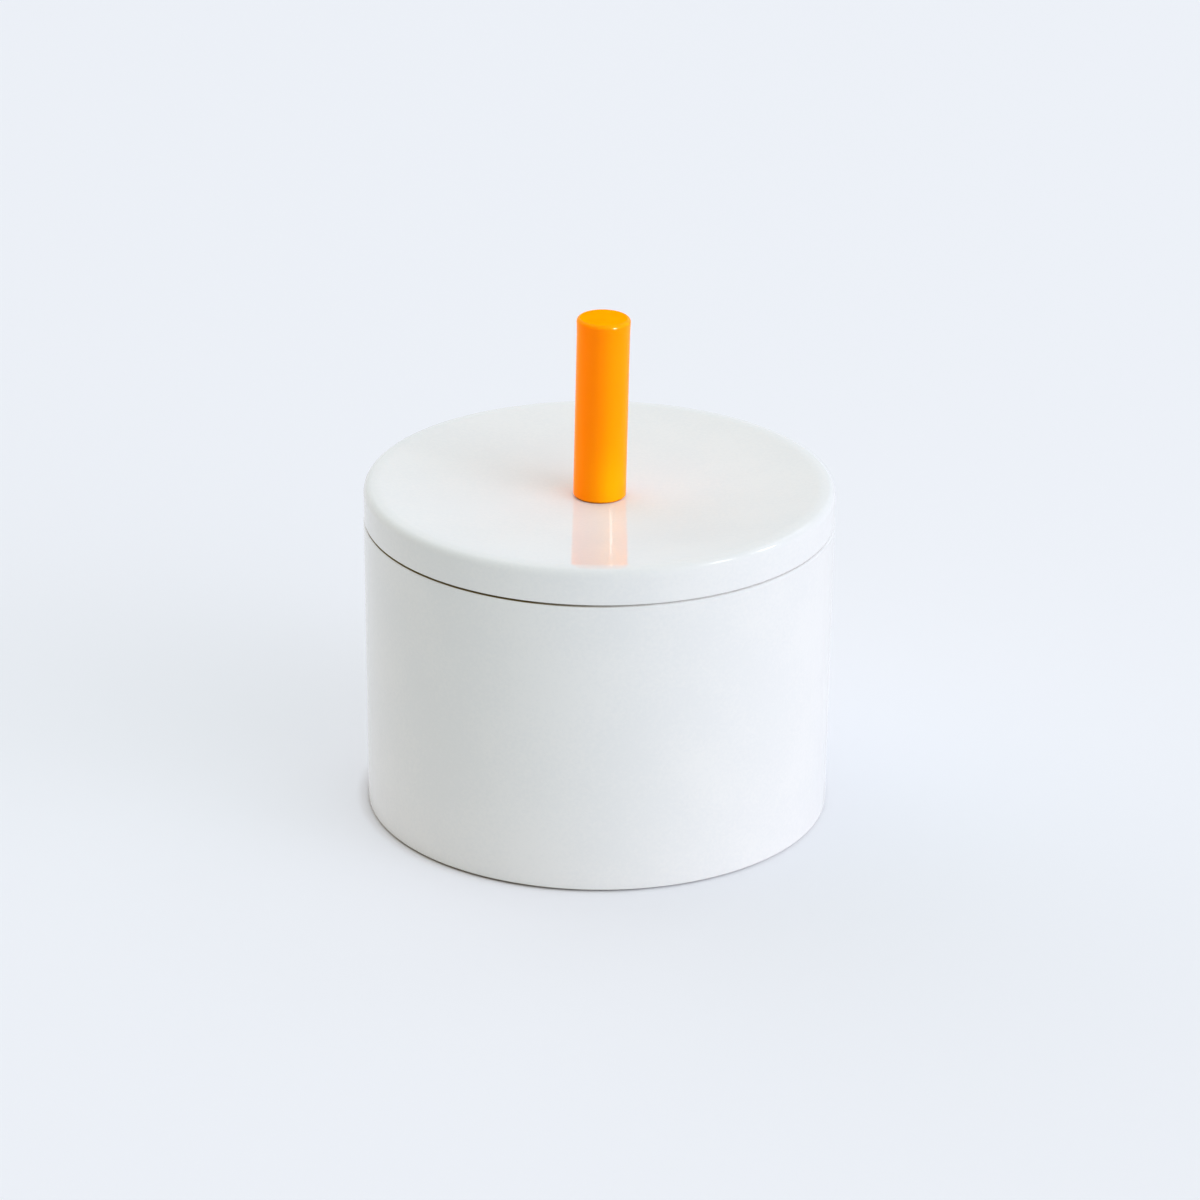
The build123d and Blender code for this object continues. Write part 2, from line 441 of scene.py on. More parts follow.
@dataclass(frozen=True)
class ZincPlate(Finish):
    """Zinc-plated steel: a bright, faintly blue and yellow metal with fine scratches."""

    name: str = "zinc_plate"
    blue: Colour = (0.60, 0.63, 0.67)
    yellow: Colour = (0.70, 0.68, 0.61)
    roughness: float = 0.26
    dulling: float = 1.7
    tint_pitch: float = 3 * MM
    scratch_pitch: float = 0.12 * MM
    scratch_stretch: float = 0.08
    scratch_depth: float = 0.004 * MM

    def shade(self, shader: Shader, surface: bpy.types.Node) -> None:
        """Wires the plating's tint, gloss and scratches.

        Args:
            shader: the material's node tree.
            surface: its Principled node.
        """
        tint = shader.spread(shader.noise(self.tint_pitch, Detail.FINE), *CLOUD_RANGE)
        shader.feed(surface.inputs["Base Color"], shader.blend(tint, self.blue, self.yellow))
        scratch = shader.noise(self.scratch_pitch, stretch=Vector((1, self.scratch_stretch, 1)))
        gloss = shader.spread(scratch, *NOISE_RANGE, self.roughness, self.roughness * self.dulling)
        shader.feed(surface.inputs["Roughness"], gloss)
        surface.inputs["Metallic"].default_value = 1.0
        shader.feed(surface.inputs["Normal"], shader.bump(scratch, self.scratch_depth))


@dataclass(frozen=True)
class TurnedBrass(Finish):
    """Brass with the rings that turning leaves."""

    name: str = "turned_brass"
    bright: Colour = (0.83, 0.62, 0.27)
    dull: Colour = (0.66, 0.46, 0.18)
    roughness: float = 0.28
    dulling: float = 1.4
    ring_pitch: float = 0.15 * MM
    ring_stretch: float = 0.02
    ring_depth: float = 0.005 * MM

    def shade(self, shader: Shader, surface: bpy.types.Node) -> None:
        """Wires the brass's tint and turning rings.

        Args:
            shader: the material's node tree.
            surface: its Principled node.
        """
        round_axis = Vector((self.ring_stretch, self.ring_stretch, 1))
        rings = shader.noise(self.ring_pitch, Detail.SMOOTH, round_axis)
        shader.feed(surface.inputs["Base Color"], shader.blend(rings, self.dull, self.bright))
        gloss = shader.spread(rings, *NOISE_RANGE, self.roughness, self.roughness * self.dulling)
        shader.feed(surface.inputs["Roughness"], gloss)
        surface.inputs["Metallic"].default_value = 1.0
        shader.feed(surface.inputs["Normal"], shader.bump(rings, self.ring_depth))


@dataclass(frozen=True)
class MattGrain(Finish):
    """A matt, grainy stuff of two near shades, such as rubber or pressed fibre."""

    name: str
    dark: Colour
    light: Colour
    roughness: float
    grain_pitch: float
    grain_depth: float
    dulling: float = 1.1

    def shade(self, shader: Shader, surface: bpy.types.Node) -> None:
        """Wires the grain's colour, roughness and relief.

        Args:
            shader: the material's node tree.
            surface: its Principled node.
        """
        grain = shader.noise(self.grain_pitch, Detail.FINE)
        colour = shader.blend(shader.spread(grain, *NOISE_RANGE), self.dark, self.light)
        shader.feed(surface.inputs["Base Color"], colour)
        matt = shader.spread(grain, *NOISE_RANGE, self.roughness, self.roughness * self.dulling)
        shader.feed(surface.inputs["Roughness"], matt)
        shader.feed(surface.inputs["Normal"], shader.bump(grain, self.grain_depth))


PORCELAIN = GlazedPorcelain()
LACQUER = OrangeLacquer()
ZINC = ZincPlate()
BRASS = TurnedBrass()
RUBBER = MattGrain("black_rubber", (0.016, 0.016, 0.018), (0.03, 0.03, 0.032), 0.7, 0.2 * MM, 0.02 * MM)
FIBRE = MattGrain("brown_fibre", (0.42, 0.13, 0.015), (0.56, 0.21, 0.035), 0.82, 0.15 * MM, 0.03 * MM)


@dataclass(frozen=True)
class Corner:
    """A corner of a turned outline.

    Attributes:
        radius: distance from the axis.
        height: height along the axis.
        rounding: radius of the rounding, 0 for a point of a curve.
        cover: whether the outline is glazed from the last part of this rounding on.
        pool: how thick the glaze has gathered here, 0 to 1.
        painted_shade: how much painted shade darkens the bare porcelain here, 0 to 1.
    """

    radius: float
    height: float
    rounding: float = 0.0
    cover: Cover = Cover.GLAZED
    pool: float = 0.0
    painted_shade: float = 0.0


@dataclass(frozen=True)
class PathPoint:
    """A point of a finished outline, with its glaze, pooled glaze and share of painted shade."""

    radius: float
    height: float
    glaze: float
    pool: float
    painted_shade: float


@dataclass
class Outline:
    """A turned outline: straight runs between corners, which are rounded to arcs.

    Attributes:
        corners: its corners in order.
        closed: whether the last corner joins the first; an open one starts and ends on the axis.
        arc_step: turn of one facet of an arc, in degrees.
        run_step: longest facet of a straight run.
        guard: length of the short facets at the ends of a run, which keep its shading flat.
        cover_from: share of a rounding after which its corner's cover holds.
    """

    corners: list[Corner]
    closed: bool = False
    arc_step: float = 7.5
    run_step: float = 3 * MM
    guard: float = 0.2 * MM
    cover_from: float = 0.7

    def path(self) -> list[PathPoint]:
        """The outline's points, with arcs and runs divided.

        Returns:
            Points in order along the outline.
        """
        arcs = [self.arc(index) for index in range(len(self.corners))]
        points: list[PathPoint] = []
        for index, arc in enumerate(arcs):
            points += arc
            after = (index + 1) % len(arcs)
            curve = len(arc) == 1 and len(arcs[after]) == 1
            if not curve and (after or self.closed):
                points += self.run(arc[-1], arcs[after][0])
        return points

    def arc(self, index: int) -> list[PathPoint]:
        """The facets that stand for one corner.

        Args:
            index: the corner's number.

        Returns:
            Points of its rounding, or the corner itself.
        """
        corner = self.corners[index]
        at = Vector((corner.radius, corner.height))
        ends = not self.closed and index in (0, len(self.corners) - 1)
        before = self.corners[index - 1]
        after = self.corners[(index + 1) % len(self.corners)]
        if ends or corner.rounding <= 0:
            return [PathPoint(at.x, at.y, corner.cover.value, corner.pool, corner.painted_shade)]
        back = (Vector((before.radius, before.height)) - at).normalized()
        ahead = (Vector((after.radius, after.height)) - at).normalized()
        half = back.angle(ahead) / 2
        centre = at + (back + ahead).normalized() * corner.rounding / math.sin(half)
        start = at + back * corner.rounding / math.tan(half) - centre
        turn = start.angle_signed(at + ahead * corner.rounding / math.tan(half) - centre)
        facets = max(2, math.ceil(abs(math.degrees(turn)) / self.arc_step))
        spots = []
        for facet in range(facets + 1):
            angle = -turn * facet / facets
            spot = centre + Matrix.Rotation(angle, 2) @ start
            cover = corner.cover if facet > self.cover_from * facets else before.cover
            spots.append(PathPoint(spot.x, spot.y, cover.value, corner.pool, corner.painted_shade))
        return spots

    def run(self, start: PathPoint, end: PathPoint) -> list[PathPoint]:
        """The points between two arcs, with a short facet at each end.

        Args:
            start: last point of one arc.
            end: first point of the next.

        Returns:
            Points between them, without either.
        """
        length = math.hypot(end.radius - start.radius, end.height - start.height)
        middle = length - 2 * self.guard
        if middle < 2 * self.guard:
            return []
        facets = max(1, math.ceil(middle / self.run_step))
        places = [self.guard + middle * k / facets for k in range(facets + 1)]
        return [
            PathPoint(
                start.radius + (end.radius - start.radius) * place / length,
                start.height + (end.height - start.height) * place / length,
                start.glaze,
                start.pool + (end.pool - start.pool) * place / length,
                start.painted_shade + (end.painted_shade - start.painted_shade) * place / length,
            )
            for place in places
        ]


@dataclass
class Turning:
    """Turns an outline about the axis into a mesh of quads.

    Attributes:
        name: the piece's name.
        outline: what is turned.
        facets: facets round the axis.
        place: where the turned piece stands.
    """

    name: str
    outline: Outline
    facets: int = 256
    place: Matrix = field(default_factory=lambda: Matrix.Identity(4))

    def piece(self) -> bpy.types.Object:
        """Makes the mesh and its object.

        Returns:
            The new object, linked to the scene, smooth, with its UVs and surface attributes.
        """
        path = self.outline.path()
        work = bmesh.new()
        rings = [self.ring(work, point) for point in path]
        pairs = list(zip(rings, rings[1:], range(len(rings) - 1)))
        if self.outline.closed:
            pairs.append((rings[-1], rings[0], len(rings) - 1))
        layer = work.loops.layers.uv.new("turned")
        for lower, upper, row in pairs:
            self.skirt(work, layer, lower, upper, row, len(path))
        bmesh.ops.recalc_face_normals(work, faces=work.faces)
        mesh = bpy.data.meshes.new(self.name)
        counts = [len(ring) for ring in rings]
        work.to_mesh(mesh)
        work.free()
        mesh.transform(self.place)
        mesh.shade_smooth()
        # The third attribute carries the share of painted shade on the bare edges.
        for name in ("glaze", "pool", "painted_shade"):
            values = [getattr(point, name) for point, count in zip(path, counts) for _ in range(count)]
            mesh.attributes.new(name, "FLOAT", "POINT").data.foreach_set("value", values)
        made = bpy.data.objects.new(self.name, mesh)
        bpy.context.scene.collection.objects.link(made)
        return made

    def ring(self, work: bmesh.types.BMesh, point: PathPoint) -> list[bmesh.types.BMVert]:
        """The vertices of one point of the outline: a ring, or one on the axis.

        Args:
            work: the mesh under work.
            point: the outline's point.

        Returns:
            The new vertices.
        """
        if point.radius < ON_AXIS:
            return [work.verts.new((0.0, 0.0, point.height))]
        made = []
        for facet in range(self.facets):
            angle = 2 * math.pi * facet / self.facets
            across = point.radius * math.cos(angle)
            along = point.radius * math.sin(angle)
            made.append(work.verts.new((across, along, point.height)))
        return made

    def skirt(
        self,
        work: bmesh.types.BMesh,
        layer: bmesh.types.BMLayerItem,
        lower: list[bmesh.types.BMVert],
        upper: list[bmesh.types.BMVert],
        row: int,
        rows: int,
    ) -> None:
        """The faces between two rings, with their UVs.

        Args:
            work: the mesh under work.
            layer: its UV layer.
            lower: one ring, or a vertex on the axis.
            upper: the next one.
            row: the lower ring's number.
            rows: how many rings the piece has.
        """
        for facet in range(self.facets):
            after = facet + 1
            corners = [(lower, facet, 0), (lower, after, 0), (upper, after, 1), (upper, facet, 1)]
            spots = []
            for ring, step, side in corners:
                vertex = ring[step % len(ring)]
                if all(vertex is not known for known, _ in spots):
                    spots.append((vertex, (step / self.facets, (row + side) / rows)))
            face = work.faces.new([vertex for vertex, _ in spots])
            for loop, (_, spot) in zip(face.loops, spots):
                loop[layer].uv = spot


def settle(piece: bpy.types.Object, body: Body, slot: Slot, *nodes: str) -> None:
    """Rides a new piece on its body and lets it stand for its construction nodes.

    Args:
        piece: the new piece.
        body: the body that it moves with.
        slot: the record's slot of its finish; not used.
        nodes: the construction nodes that it stands for.
    """
    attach(piece, body.value)
    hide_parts(*nodes)
    LOG.info("%s: %d faces, rides on %s", piece.name, len(piece.data.polygons), body.value)


@dataclass
class BoxBody:
    """The box: wall, floor and foot ring, glazed but for the foot and the rim's seat."""

    wall: float = 4.0 * MM
    draft: float = 0.5 * MM
    floor: float = 5.0 * MM
    foot_width: float = 5.0 * MM
    recess: float = 1.2 * MM
    foot_relief: float = 0.45 * MM
    foot_relief_width: float = 2.0 * MM
    foot_relief_rounding: float = 0.5 * MM
    foot_rounding: float = 0.2 * MM
    foot_inner_rounding: float = 0.5 * MM
    recess_rounding: float = 0.6 * MM
    inside_rounding: float = 6.0 * MM
    rim_relief: float = 0.5 * MM
    rim_relief_width: float = 2.0 * MM
    rim_relief_rounding: float = 0.5 * MM
    rim_outer_rounding: float = 0.65 * MM
    rim_inner_rounding: float = 0.8 * MM
    bare_inside: float = 2.5 * MM
    # Share of painted shade at the foot's underside and at the outer edges of the foot and the rim.
    foot_painted_shade: float = 0.6
    edge_painted_shade: float = 1.0
    corner_pool: float = 1.0

    def __post_init__(self) -> None:
        """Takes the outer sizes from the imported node."""
        _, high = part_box("box_body")
        self.height: float = high.z
        self.rim: float = high.x
        self.foot: float = self.rim - self.draft

    def outside(self, height: float) -> float:
        """Radius of the wall's outer face at a height."""
        return self.foot + self.draft * height / self.height

    def inside(self, height: float) -> float:
        """Radius of the wall's inner face at a height."""
        return self.outside(height) - self.wall

    def outline(self) -> Outline:
        """The box's outline, from under its floor, round the foot and the rim, to its inside.

        Returns:
            The outline.
        """
        ring = self.foot - self.foot_width
        flat_foot = self.foot - self.foot_relief_width
        foot_edge = self.foot_relief
        rim_edge = self.height - self.rim_relief
        flat_rim = self.rim - self.rim_relief_width
        bare_end = self.height - self.bare_inside
        top = self.recess + self.floor
        flat_floor = self.inside(top) - 2 * self.inside_rounding
        bare = Cover.BARE
        # Painted shade on the bare edges of the foot and the rim.
        edge_painted = self.edge_painted_shade
        return Outline([
            Corner(0, self.recess),
            Corner(ring, self.recess, self.recess_rounding, bare),
            Corner(ring, 0, self.foot_inner_rounding, bare),
            Corner(flat_foot, 0, self.foot_relief_rounding, bare, painted_shade=self.foot_painted_shade),
            Corner(self.outside(foot_edge), foot_edge, self.foot_rounding, painted_shade=edge_painted),
            Corner(self.outside(rim_edge), rim_edge, self.rim_outer_rounding, bare, painted_shade=edge_painted),
            Corner(flat_rim, self.height, self.rim_relief_rounding, bare),
            Corner(self.inside(self.height), self.height, self.rim_inner_rounding, bare),
            Corner(self.inside(bare_end), bare_end),
            Corner(self.inside(top), top, self.inside_rounding, pool=self.corner_pool),
            Corner(flat_floor, top),
            Corner(0, top),
        ])

    def build(self) -> None:
        """Turns, dresses and settles the box."""
        piece = Turning("porcelain_box", self.outline()).piece()
        PORCELAIN.dress(piece)
        settle(piece, Body.BOX, Slot.PORCELAIN, "box_body")


@dataclass
class Lid:
    """The lid: a dished disc with a land for the knob, a screw hole and a locating ring."""

    crest_height: float = 8.12 * MM
    crest_width: float = 3.0 * MM
    crest_fall: float = 0.42 * MM
    crest_rounding: float = 8.0 * MM
    top_rounding: float = 1.9 * MM
    lower_rounding: float = 0.2 * MM
    ring_radius: float = 48.653 * MM
    ring_width: float = 4.0 * MM
    ring_rounding: float = 1.0 * MM
    inner_root: float = 1.5 * MM
    outer_root: float = 0.5 * MM
    hole: float = 2.75 * MM
    hole_rounding: float = 0.3 * MM
    land: float = 6.8 * MM
    # Painted shade on the lid's bare lower edge, fading out over the outer band of the seat.
    painted_shade_width: float = 1.5 * MM
    edge_painted_shade: float = 1.0
    root_pool: float = 0.6
    dish_facets: int = 24

    def __post_init__(self) -> None:
        """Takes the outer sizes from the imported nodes."""
        low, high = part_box("lid")
        self.ring_bottom: float = low.z
        self.radius: float = high.x
        self.seat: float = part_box("box_body")[1].z
        self.land_top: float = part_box("seat_washer")[0].z
        self.crest: float = self.seat + self.crest_height

    def dish(self) -> list[Corner]:
        """Points of the dished top, an arc that leaves the land level and rises to the crest.

        Returns:
            Corners without a rounding, from the land outwards.
        """
        width = self.radius - self.crest_width - self.land
        rise = self.crest - self.land_top
        bend = (width**2 + rise**2) / (2 * rise)
        places = [width * k / self.dish_facets for k in range(self.dish_facets)]
        heights = [self.land_top + bend - math.sqrt(bend**2 - place**2) for place in places]
        return [Corner(self.land + place, height) for place, height in zip(places, heights)]

    def outline(self) -> Outline:
        """The lid's closed outline, from its hole over the top and round the ring.

        Returns:
            The outline.
        """
        ring_inside = self.ring_radius - self.ring_width
        corners = [Corner(self.hole, self.land_top, self.hole_rounding)]
        corners += self.dish()
        corners += [
            Corner(self.radius - self.crest_width, self.crest, self.crest_rounding),
            Corner(self.radius, self.crest - self.crest_fall, self.top_rounding),
            Corner(self.radius, self.seat, self.lower_rounding, Cover.BARE, painted_shade=self.edge_painted_shade),
            Corner(self.radius - self.painted_shade_width, self.seat, cover=Cover.BARE),
            Corner(self.ring_radius, self.seat, self.outer_root, Cover.BARE),
            Corner(self.ring_radius, self.ring_bottom, self.ring_rounding),
            Corner(ring_inside, self.ring_bottom, self.ring_rounding),
            Corner(ring_inside, self.seat, self.inner_root, pool=self.root_pool),
            Corner(self.hole, self.seat, self.hole_rounding, Cover.BARE),
        ]
        return Outline(corners, closed=True)

    def build(self) -> None:
        """Turns, dresses and settles the lid."""
        piece = Turning("porcelain_lid", self.outline()).piece()
        PORCELAIN.dress(piece)
        settle(piece, Body.LID, Slot.PORCELAIN, "lid")


@dataclass
class Knob:
    """The dowel, with a faint bead of lacquer round its top, leaning a little towards +X."""

    radius: float = 6.0 * MM
    length: float = 42.33 * MM
    lean: float = math.radians(0.85)
    washer: float = 0.22 * MM
    top_rounding: float = 1.0 * MM
    foot_rounding: float = 0.3 * MM
    bead: float = 0.15 * MM
    bead_length: float = 5.0 * MM
    bead_facets: int = 8
    bore: float = 3.05 * MM
    bore_depth: float = 10.9 * MM
    bore_rounding: float = 0.2 * MM
    facets: int = 128

    def outline(self) -> Outline:
        """The knob's outline along its own axis, counted from the lid's land.

        Returns:
            The outline, from the middle of the top to the middle of the bore's end.
        """
        top = self.washer + self.length
        start = top - self.bead_length
        shares = [k / self.bead_facets for k in range(self.bead_facets - 2, -1, -1)]
        swell = [Corner(self.radius + self.bead * k**2, start + self.bead_length * k) for k in shares]
        return Outline([
            Corner(0, top),
            Corner(self.radius + self.bead, top, self.top_rounding),
            *swell,
            Corner(self.radius, self.washer, self.foot_rounding),
            Corner(self.bore, self.washer, self.bore_rounding),
            Corner(self.bore, self.washer + self.bore_depth, self.bore_rounding),
            Corner(0, self.washer + self.bore_depth),
        ])

    def build(self) -> None:
        """Turns, dresses and settles the knob."""
        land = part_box("seat_washer")[0].z
        place = Matrix.Translation((0, 0, land)) @ Matrix.Rotation(self.lean, 4, "Y")
        piece = Turning("lacquered_knob", self.outline(), self.facets, place).piece()
        LACQUER.dress(piece)
        settle(piece, Body.LID, Slot.LACQUER, "knob")


@dataclass
class Fastening:
    """The hidden pieces that hold the knob, which keep their construction solids."""

    finishes: dict[str, Finish] = field(
        default_factory=lambda: {
            "seat_washer": FIBRE,
            "threaded_insert": BRASS,
            "knob_screw": ZINC,
            "steel_washer": ZINC,
            "cushion_washer": RUBBER,
        }
    )

    def build(self) -> None:
        """Dresses the construction solids."""
        for node, finish in self.finishes.items():
            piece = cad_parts[node]
            finish.dress(piece)
            LOG.info("%s: construction solid, %s", node, finish.name)


def direction(azimuth: float, elevation: float) -> Vector:
    """A unit vector away from the box.

    Args:
        azimuth: degrees from the camera's side towards +X.
        elevation: degrees above the horizon.

    Returns:
        The unit vector.
    """
    turn = math.radians(azimuth)
    rise = math.radians(elevation)
    level = math.cos(rise)
    return Vector((math.sin(turn) * level, -math.cos(turn) * level, math.sin(rise)))


@dataclass(frozen=True)
class Glow:
    """A soft patch of the surrounding light, such as a bright wall or ceiling of a room.

    Attributes:
        azimuth: direction of its middle, in degrees from the camera's side towards +X.
        elevation: height of its middle above the horizon, in degrees.
        focus: how narrow it is, as the power of the cosine from its middle.
        light: radiance of its middle, where 1 is a fully lit white.
    """

    azimuth: float
    elevation: float
    focus: float
    light: Colour

    def socket(self, shader: Shader, towards: Socket) -> Socket:
        """The glow's light in a direction.

        Args:
            shader: the world's node tree.
            towards: the direction.

        Returns:
            The light's colour socket.
        """
        facing = shader.node("VectorMath")
        facing.operation = "DOT_PRODUCT"
        shader.feed(facing.inputs[0], towards)
        shader.feed(facing.inputs[1], direction(self.azimuth, self.elevation))
        share = shader.sum("POWER", shader.sum("MAXIMUM", facing.outputs["Value"], 0.0), self.focus)
        scaled = shader.node("VectorMath")
        scaled.operation = "SCALE"
        shader.feed(scaled.inputs[0], self.light)
        shader.feed(scaled.inputs["Scale"], share)
        return scaled.outputs["Vector"]


@dataclass(frozen=True)
class Lamp:
    """A soft rectangular lamp that faces the box.

    Attributes:
        name: its name.
        azimuth: direction it stands in, in degrees from the camera's side towards +X.
        elevation: its height above the horizon, in degrees.
        distance: how far it stands from the box.
        width: its width.
        height: its height.
        light: radiance of its face, where 1 is a fully lit white.
        reach: which of its light counts.
        only: names of the pieces that it lights, none for all.
        aim: height on the box's axis that it faces.
    """

    name: str
    azimuth: float
    elevation: float
    distance: float
    width: float
    height: float
    light: Colour
    reach: Reach = Reach.FULL
    only: tuple[str, ...] = ()
    aim: float = 50 * MM

    def build(self) -> None:
        """Makes the lamp."""
        light = bpy.data.lights.new(self.name, "AREA")
        light.shape = "RECTANGLE"
        light.size = self.width
        light.size_y = self.height
        peak = max(self.light)
        light.energy = math.pi * self.width * self.height * peak
        light.color = [part / peak for part in self.light]
        lamp = bpy.data.objects.new(self.name, light)
        away = direction(self.azimuth, self.elevation)
        lamp.location = Vector((0, 0, self.aim)) + away * self.distance
        lamp.rotation_euler = away.to_track_quat("Z", "Y").to_euler()
        lamp.visible_camera = False
        lamp.visible_diffuse = self.reach is not Reach.SHINE
        lamp.visible_glossy = self.reach is not Reach.SHADE
        bpy.context.scene.collection.objects.link(lamp)
        if self.only:
            lit = bpy.data.collections.new(self.name)
            for piece in self.only:
                lit.objects.link(bpy.data.objects[piece])
            lamp.light_linking.receiver_collection = lit


LID_ONLY = ("porcelain_lid",)
KNOB_ONLY = ("lacquered_knob",)


@dataclass
class Studio:
    """The pale floor, the surrounding light and the lamps.

    Attributes:
        floor_radius: of the floor's disc.
        floor_drop: how far the floor lies under the foot.
        floor_facets: sides of the floor's disc.
        floor_roughness: of the floor.
        floor_colour: the floor's colour where it is seen.
        bounce_colour: the floor's colour in the light that it throws back.
        seen_colour: the background, and the floor's own even light.
        even_share: share of the even light in the floor.
        even_from: distance from even_middle at which the even light starts.
        even_fade: width of that start.
        even_middle: middle of the floor's part without the even light, which the foot shades.
        near_colour: light that the floor throws at the foot.
        near_to: distance at which that light has faded out.
        glows: the surrounding light.
        lamps: windows, glints, and lamps for one piece only.
    """

    floor_radius: float = 8.0
    floor_drop: float = 0.03 * MM
    floor_facets: int = 96
    floor_roughness: float = 0.9
    floor_colour: Colour = (0.895, 0.895, 0.94)
    bounce_colour: Colour = (0.872, 0.885, 0.868)
    seen_colour: Colour = (0.847, 0.885, 0.935)
    even_share: float = 0.35
    even_from: float = 53.2 * MM
    even_fade: float = 1.5 * MM
    even_middle: Vector = field(default_factory=lambda: Vector((-1.2 * MM, 0, 0)))
    near_colour: Colour = (0.13, 0.10, 0.10)
    near_to: float = 160 * MM
    glows: tuple[Glow, ...] = (
        Glow(0, 90, 2, (0.65, 0.775, 0.66)),
        Glow(45, 12, 6, (0.90, 0.89, 0.89)),
        Glow(45, 45, 6, (0.61, 0.71, 0.84)),
        Glow(48, 12, 24, (0.86, 0.86, 0.98)),
        Glow(60, 25, 24, (0.92, 0.93, 1.12)),
        Glow(75, 12, 24, (0.77, 0.69, 0.78)),
        Glow(90, 0, 2, (0.41, 0.28, 0.37)),
        Glow(-90, 45, 6, (0.33, 0.13, 0.0)),
        Glow(-135, 12, 6, (1.09, 1.04, 1.01)),
        Glow(-135, 45, 6, (0.49, 0.50, 0.70)),
        Glow(180, 0, 2, (0.53, 0.61, 0.71)),
    )
    lamps: tuple[Lamp, ...] = (
        Lamp("near_window", 62, 28, 2.5, 0.7, 0.4, (2.2, 2.2, 2.7), Reach.SHADE),
        Lamp("far_window", 88, 26, 2.5, 1.2, 0.3, (0.9, 0.9, 1.0)),
        Lamp("back_window", 140, 42, 2.5, 0.9, 0.9, (0.77, 0.80, 0.92)),
        Lamp("rim_glint", 80, 52, 2.5, 0.45, 0.45, (9.0, 9.0, 9.0), Reach.SHINE, LID_ONLY),
        Lamp("far_glint", 103, 40, 2.5, 0.4, 0.45, (9.0, 9.0, 9.0), Reach.SHINE, LID_ONLY),
        Lamp("knob_streak", 48.5, 15, 2.5, 0.36, 0.62, (800.0, 800.0, 800.0), Reach.SHINE, KNOB_ONLY),
        Lamp("knob_key", 70, 43, 1.2, 0.8, 0.8, (5.7, 7.8, 1.35), Reach.SHADE, KNOB_ONLY),
        Lamp("knob_fill", -85, 20, 1.2, 0.8, 0.8, (4.2, 2.3, 0.6), Reach.SHADE, KNOB_ONLY),
        Lamp("knob_edge", -125, 10, 1.2, 0.8, 0.8, (1.0, 4.0, 0.0), Reach.SHADE, KNOB_ONLY),
        Lamp("lid_fill", 20, 45, 0.025, 0.006, 0.006, (1.5, 2.4, 2.4), Reach.SHADE, LID_ONLY, 74 * MM),
        Lamp("lid_bounce", 25, 0, 0.016, 0.014, 0.003, (1.0, 5.2, 0.25), Reach.SHADE, KNOB_ONLY, 77.2 * MM),
    )

    def floor(self) -> None:
        """Makes the floor, a wide disc just under the foot."""
        mesh = bpy.data.meshes.new("floor")
        work = bmesh.new()
        bmesh.ops.create_circle(work, cap_ends=True, segments=self.floor_facets, radius=self.floor_radius)
        work.to_mesh(mesh)
        work.free()
        plate = bpy.data.objects.new("floor", mesh)
        plate.location.z = -self.floor_drop
        bpy.context.scene.collection.objects.link(plate)
        material = bpy.data.materials.new("pale_floor")
        material.use_nodes = True
        shader = Shader(material.node_tree)
        shader.node("OutputMaterial", Surface=self.floor_surface(shader))
        mesh.materials.append(material)

    def floor_surface(self, shader: Shader) -> Socket:
        """Wires the floor: matt, with a share of even light outside the foot's shade, and the near light.

        Args:
            shader: the floor's node tree.

        Returns:
            The whole surface.
        """
        matt = shader.node("BsdfPrincipled", Roughness=self.floor_roughness)
        matt.inputs["Specular IOR Level"].default_value = 0.0
        colour = shader.blend(shader.seen(), self.bounce_colour, self.floor_colour)
        shader.feed(matt.inputs["Base Color"], colour)
        even = shader.node("Emission", Color=opaque(self.seen_colour), Strength=1.0)
        away = shader.node("VectorMath")
        away.operation = "DISTANCE"
        shader.feed(away.inputs[0], shader.place(Vector((1, 1, 0))))
        shader.feed(away.inputs[1], self.even_middle)
        reach = away.outputs["Value"]
        outside = shader.spread(reach, self.even_from, self.even_from + self.even_fade)
        share = shader.sum("MULTIPLY", outside, self.even_share)
        near = shader.spread(reach, self.even_from, self.near_to, 1.0, 0.0)
        whole = shader.node("AddShader")
        mixed = self.mixed(shader, share, matt.outputs["BSDF"], even.outputs["Emission"])
        shader.feed(whole.inputs[0], mixed)
        shader.feed(whole.inputs[1], self.near_light(shader, shader.sum("MULTIPLY", outside, near)))
        return whole.outputs["Shader"]

    def near_light(self, shader: Shader, near: Socket) -> Socket:
        """Light that the floor near the box throws on the wall, without showing any brighter itself.

        Args:
            shader: the floor's node tree.
            near: how near a place of the floor is to the box, 1 at its foot.

        Returns:
            The glowing surface.
        """
        strength = shader.sum("MULTIPLY", near, shader.sum("SUBTRACT", 1.0, shader.seen()))
        glow = shader.node("Emission", Color=opaque(self.near_colour), Strength=strength)
        return glow.outputs["Emission"]

    def surround(self) -> None:
        """Lights the scene with the glows, and shows the pale background where it is seen or mirrored."""
        world = bpy.data.worlds.new("surround")
        world.use_nodes = True
        shader = Shader(world.node_tree)
        towards = shader.node("TexCoord").outputs["Generated"]
        total = self.glows[0].socket(shader, towards)
        for glow in self.glows[1:]:
            added = shader.node("VectorMath")
            shader.feed(added.inputs[0], total)
            shader.feed(added.inputs[1], glow.socket(shader, towards))
            total = added.outputs["Vector"]
        light = shader.node("Background", Color=total, Strength=1.0)
        shown = shader.node("Background", Color=opaque(self.seen_colour), Strength=1.0)
        mixed = self.mixed(shader, shader.seen(), light.outputs["Background"], shown.outputs["Background"])
        shader.node("OutputWorld", Surface=mixed)
        bpy.context.scene.world = world

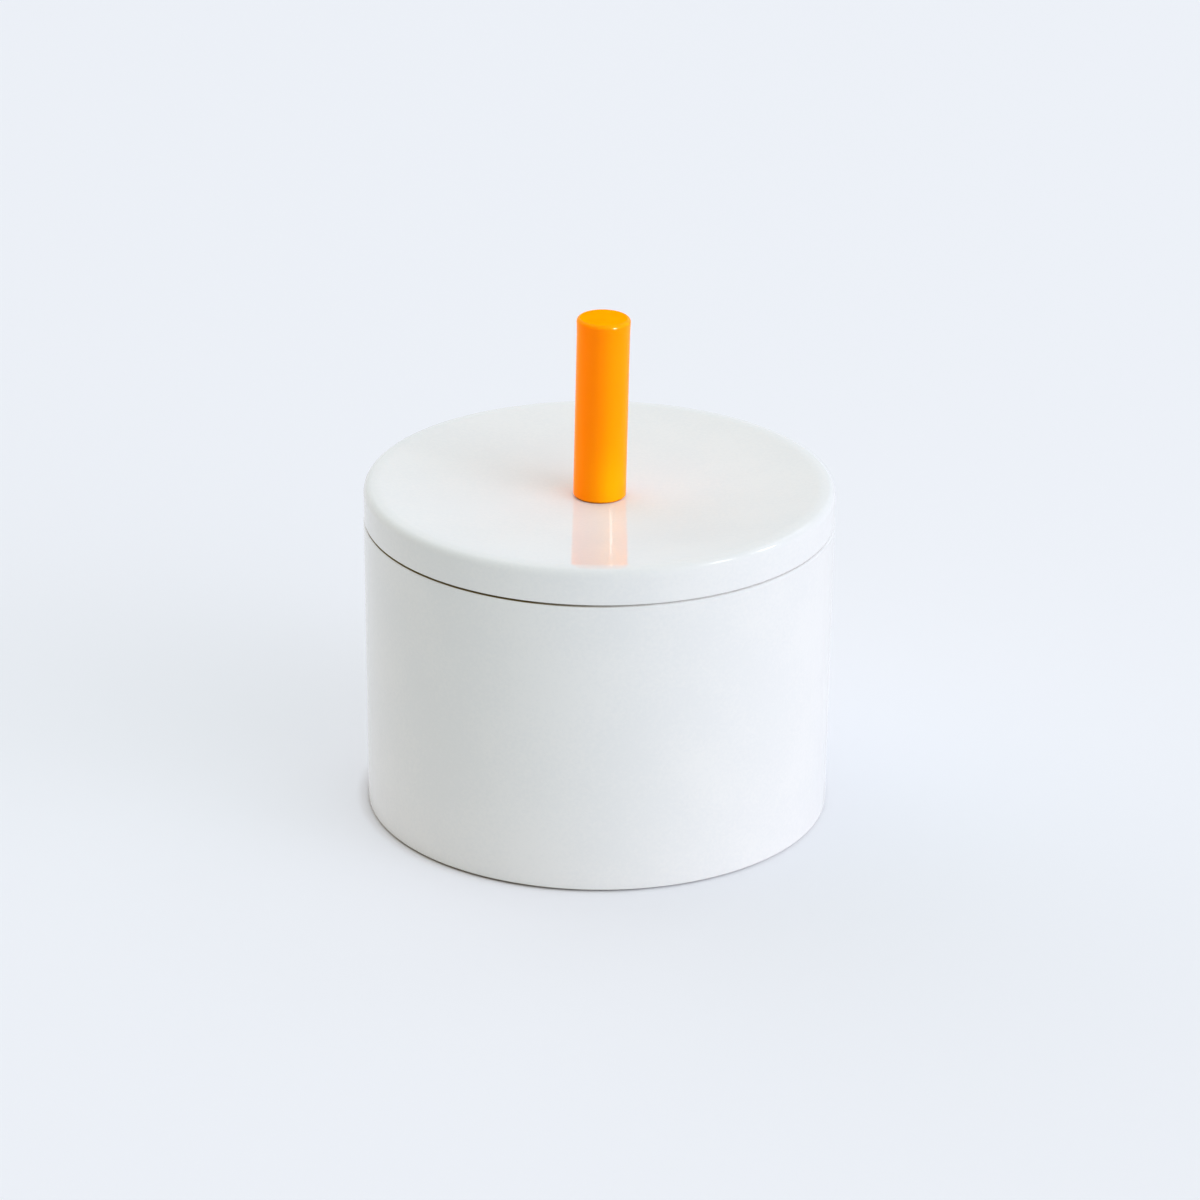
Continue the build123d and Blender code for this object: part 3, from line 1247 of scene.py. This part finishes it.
    @staticmethod
    def mixed(shader: Shader, share: Socket, first: Socket, second: Socket) -> Socket:
        """Mixes two surfaces.

        Args:
            shader: the node tree.
            share: 0 for the first, 1 for the second.
            first: one surface.
            second: the other.

        Returns:
            The mixed surface.
        """
        made = shader.node("MixShader")
        for socket, value in zip(made.inputs, (share, first, second)):
            shader.feed(socket, value)
        return made.outputs["Shader"]

    def build(self) -> None:
        """Makes the floor, the surround and the lamps."""
        self.floor()
        self.surround()
        for lamp in self.lamps:
            lamp.build()


@dataclass(frozen=True)
class PhotoCamera:
    """The photograph's viewpoint, fitted to the outlines of the box.

    Attributes:
        distance: from the target to the lens.
        elevation: of the lens above the horizon, in degrees.
        roll: of the frame, in degrees.
        target: the point at the middle of the frame.
        focal_pixels: focal length in pixels of the photograph.
        clip_start: nearest distance that is seen.
    """

    distance: float = 1.1235
    elevation: float = 22.9025
    roll: float = 0.4815
    target: Vector = field(default_factory=lambda: Vector((0.000308, 0, 0.048088)))
    focal_pixels: float = 4914.95
    clip_start: float = 10 * MM

    def build(self) -> None:
        """Makes the camera and gives it to the scene."""
        rise = math.radians(self.elevation)
        roll = math.radians(self.roll)
        back = Vector((0, -math.cos(rise), math.sin(rise)))
        right = Vector((1, 0, 0))
        up = Vector((0, math.sin(rise), math.cos(rise)))
        across = right * math.cos(roll) + up * math.sin(roll)
        upward = up * math.cos(roll) - right * math.sin(roll)
        lens = bpy.data.cameras.new("photo_camera")
        lens.sensor_width = SENSOR_WIDTH
        lens.lens = self.focal_pixels / PHOTO_PIXELS * SENSOR_WIDTH
        lens.clip_start = self.clip_start
        camera = bpy.data.objects.new("photo_camera", lens)
        turn = Matrix((across, upward, back)).transposed().to_4x4()
        camera.matrix_world = Matrix.Translation(self.target + back * self.distance) @ turn
        bpy.context.scene.collection.objects.link(camera)
        bpy.context.scene.camera = camera


def main() -> None:
    """Builds the object and its studio."""
    logging.basicConfig(level=logging.INFO, format="%(name)s: %(message)s")
    bpy.context.scene.view_settings.view_transform = "Standard"
    for assembly in (BoxBody(), Lid(), Knob(), Fastening(), Studio(), PhotoCamera()):
        assembly.build()


if __name__ == "__main__":
    main()
